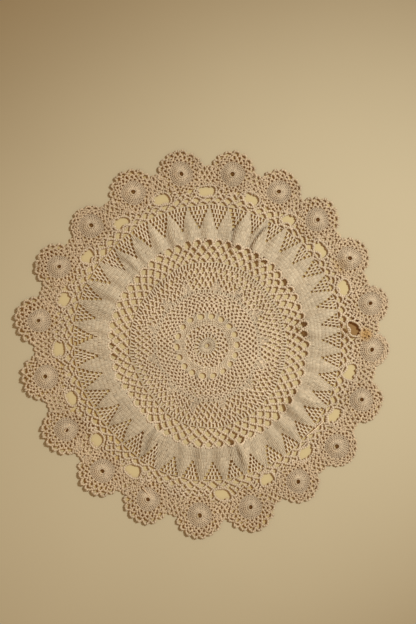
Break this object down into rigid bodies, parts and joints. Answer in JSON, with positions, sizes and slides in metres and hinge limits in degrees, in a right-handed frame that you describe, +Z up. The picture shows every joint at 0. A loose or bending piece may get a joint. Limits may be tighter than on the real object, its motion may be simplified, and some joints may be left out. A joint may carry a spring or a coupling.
{
  "type": "round crocheted lace doily",
  "caption": "Round crocheted lace doily lying flat: net centre with a rosette, a puckered band of wedges and a border of round motifs with picots.",
  "frame": {"origin": "on the surface that the cloth lies on, under the middle of its bounding box", "axes": "+Z up out of the surface, the thin way through the cloth; +Y towards the pair of top motifs, along its longer way"},
  "size_m": [0.3926, 0.408, 0.0045],
  "materials": {
    "cotton_centre": "matt unbleached crochet cotton",
    "cotton_motif": "matt unbleached crochet cotton, worked dense in the discs"
  },
  "bodies": {
    "root": {"worked_centre": "cotton_centre", "border_motif_01": "cotton_motif", "border_motif_02": "cotton_motif", "border_motif_03": "cotton_motif", "border_motif_04": "cotton_motif", "border_motif_05": "cotton_motif", "border_motif_06": "cotton_motif", "border_motif_07": "cotton_motif", "border_motif_08": "cotton_motif", "border_motif_09": "cotton_motif", "border_motif_10": "cotton_motif", "border_motif_11": "cotton_motif", "border_motif_12": "cotton_motif", "border_motif_13": "cotton_motif", "border_motif_14": "cotton_motif", "border_motif_15": "cotton_motif", "border_motif_16": "cotton_motif", "border_motif_17": "cotton_motif", "border_motif_18": "cotton_motif", "border_motif_19": "cotton_motif", "border_motif_20": "cotton_motif"}
  },
  "joints": []
}
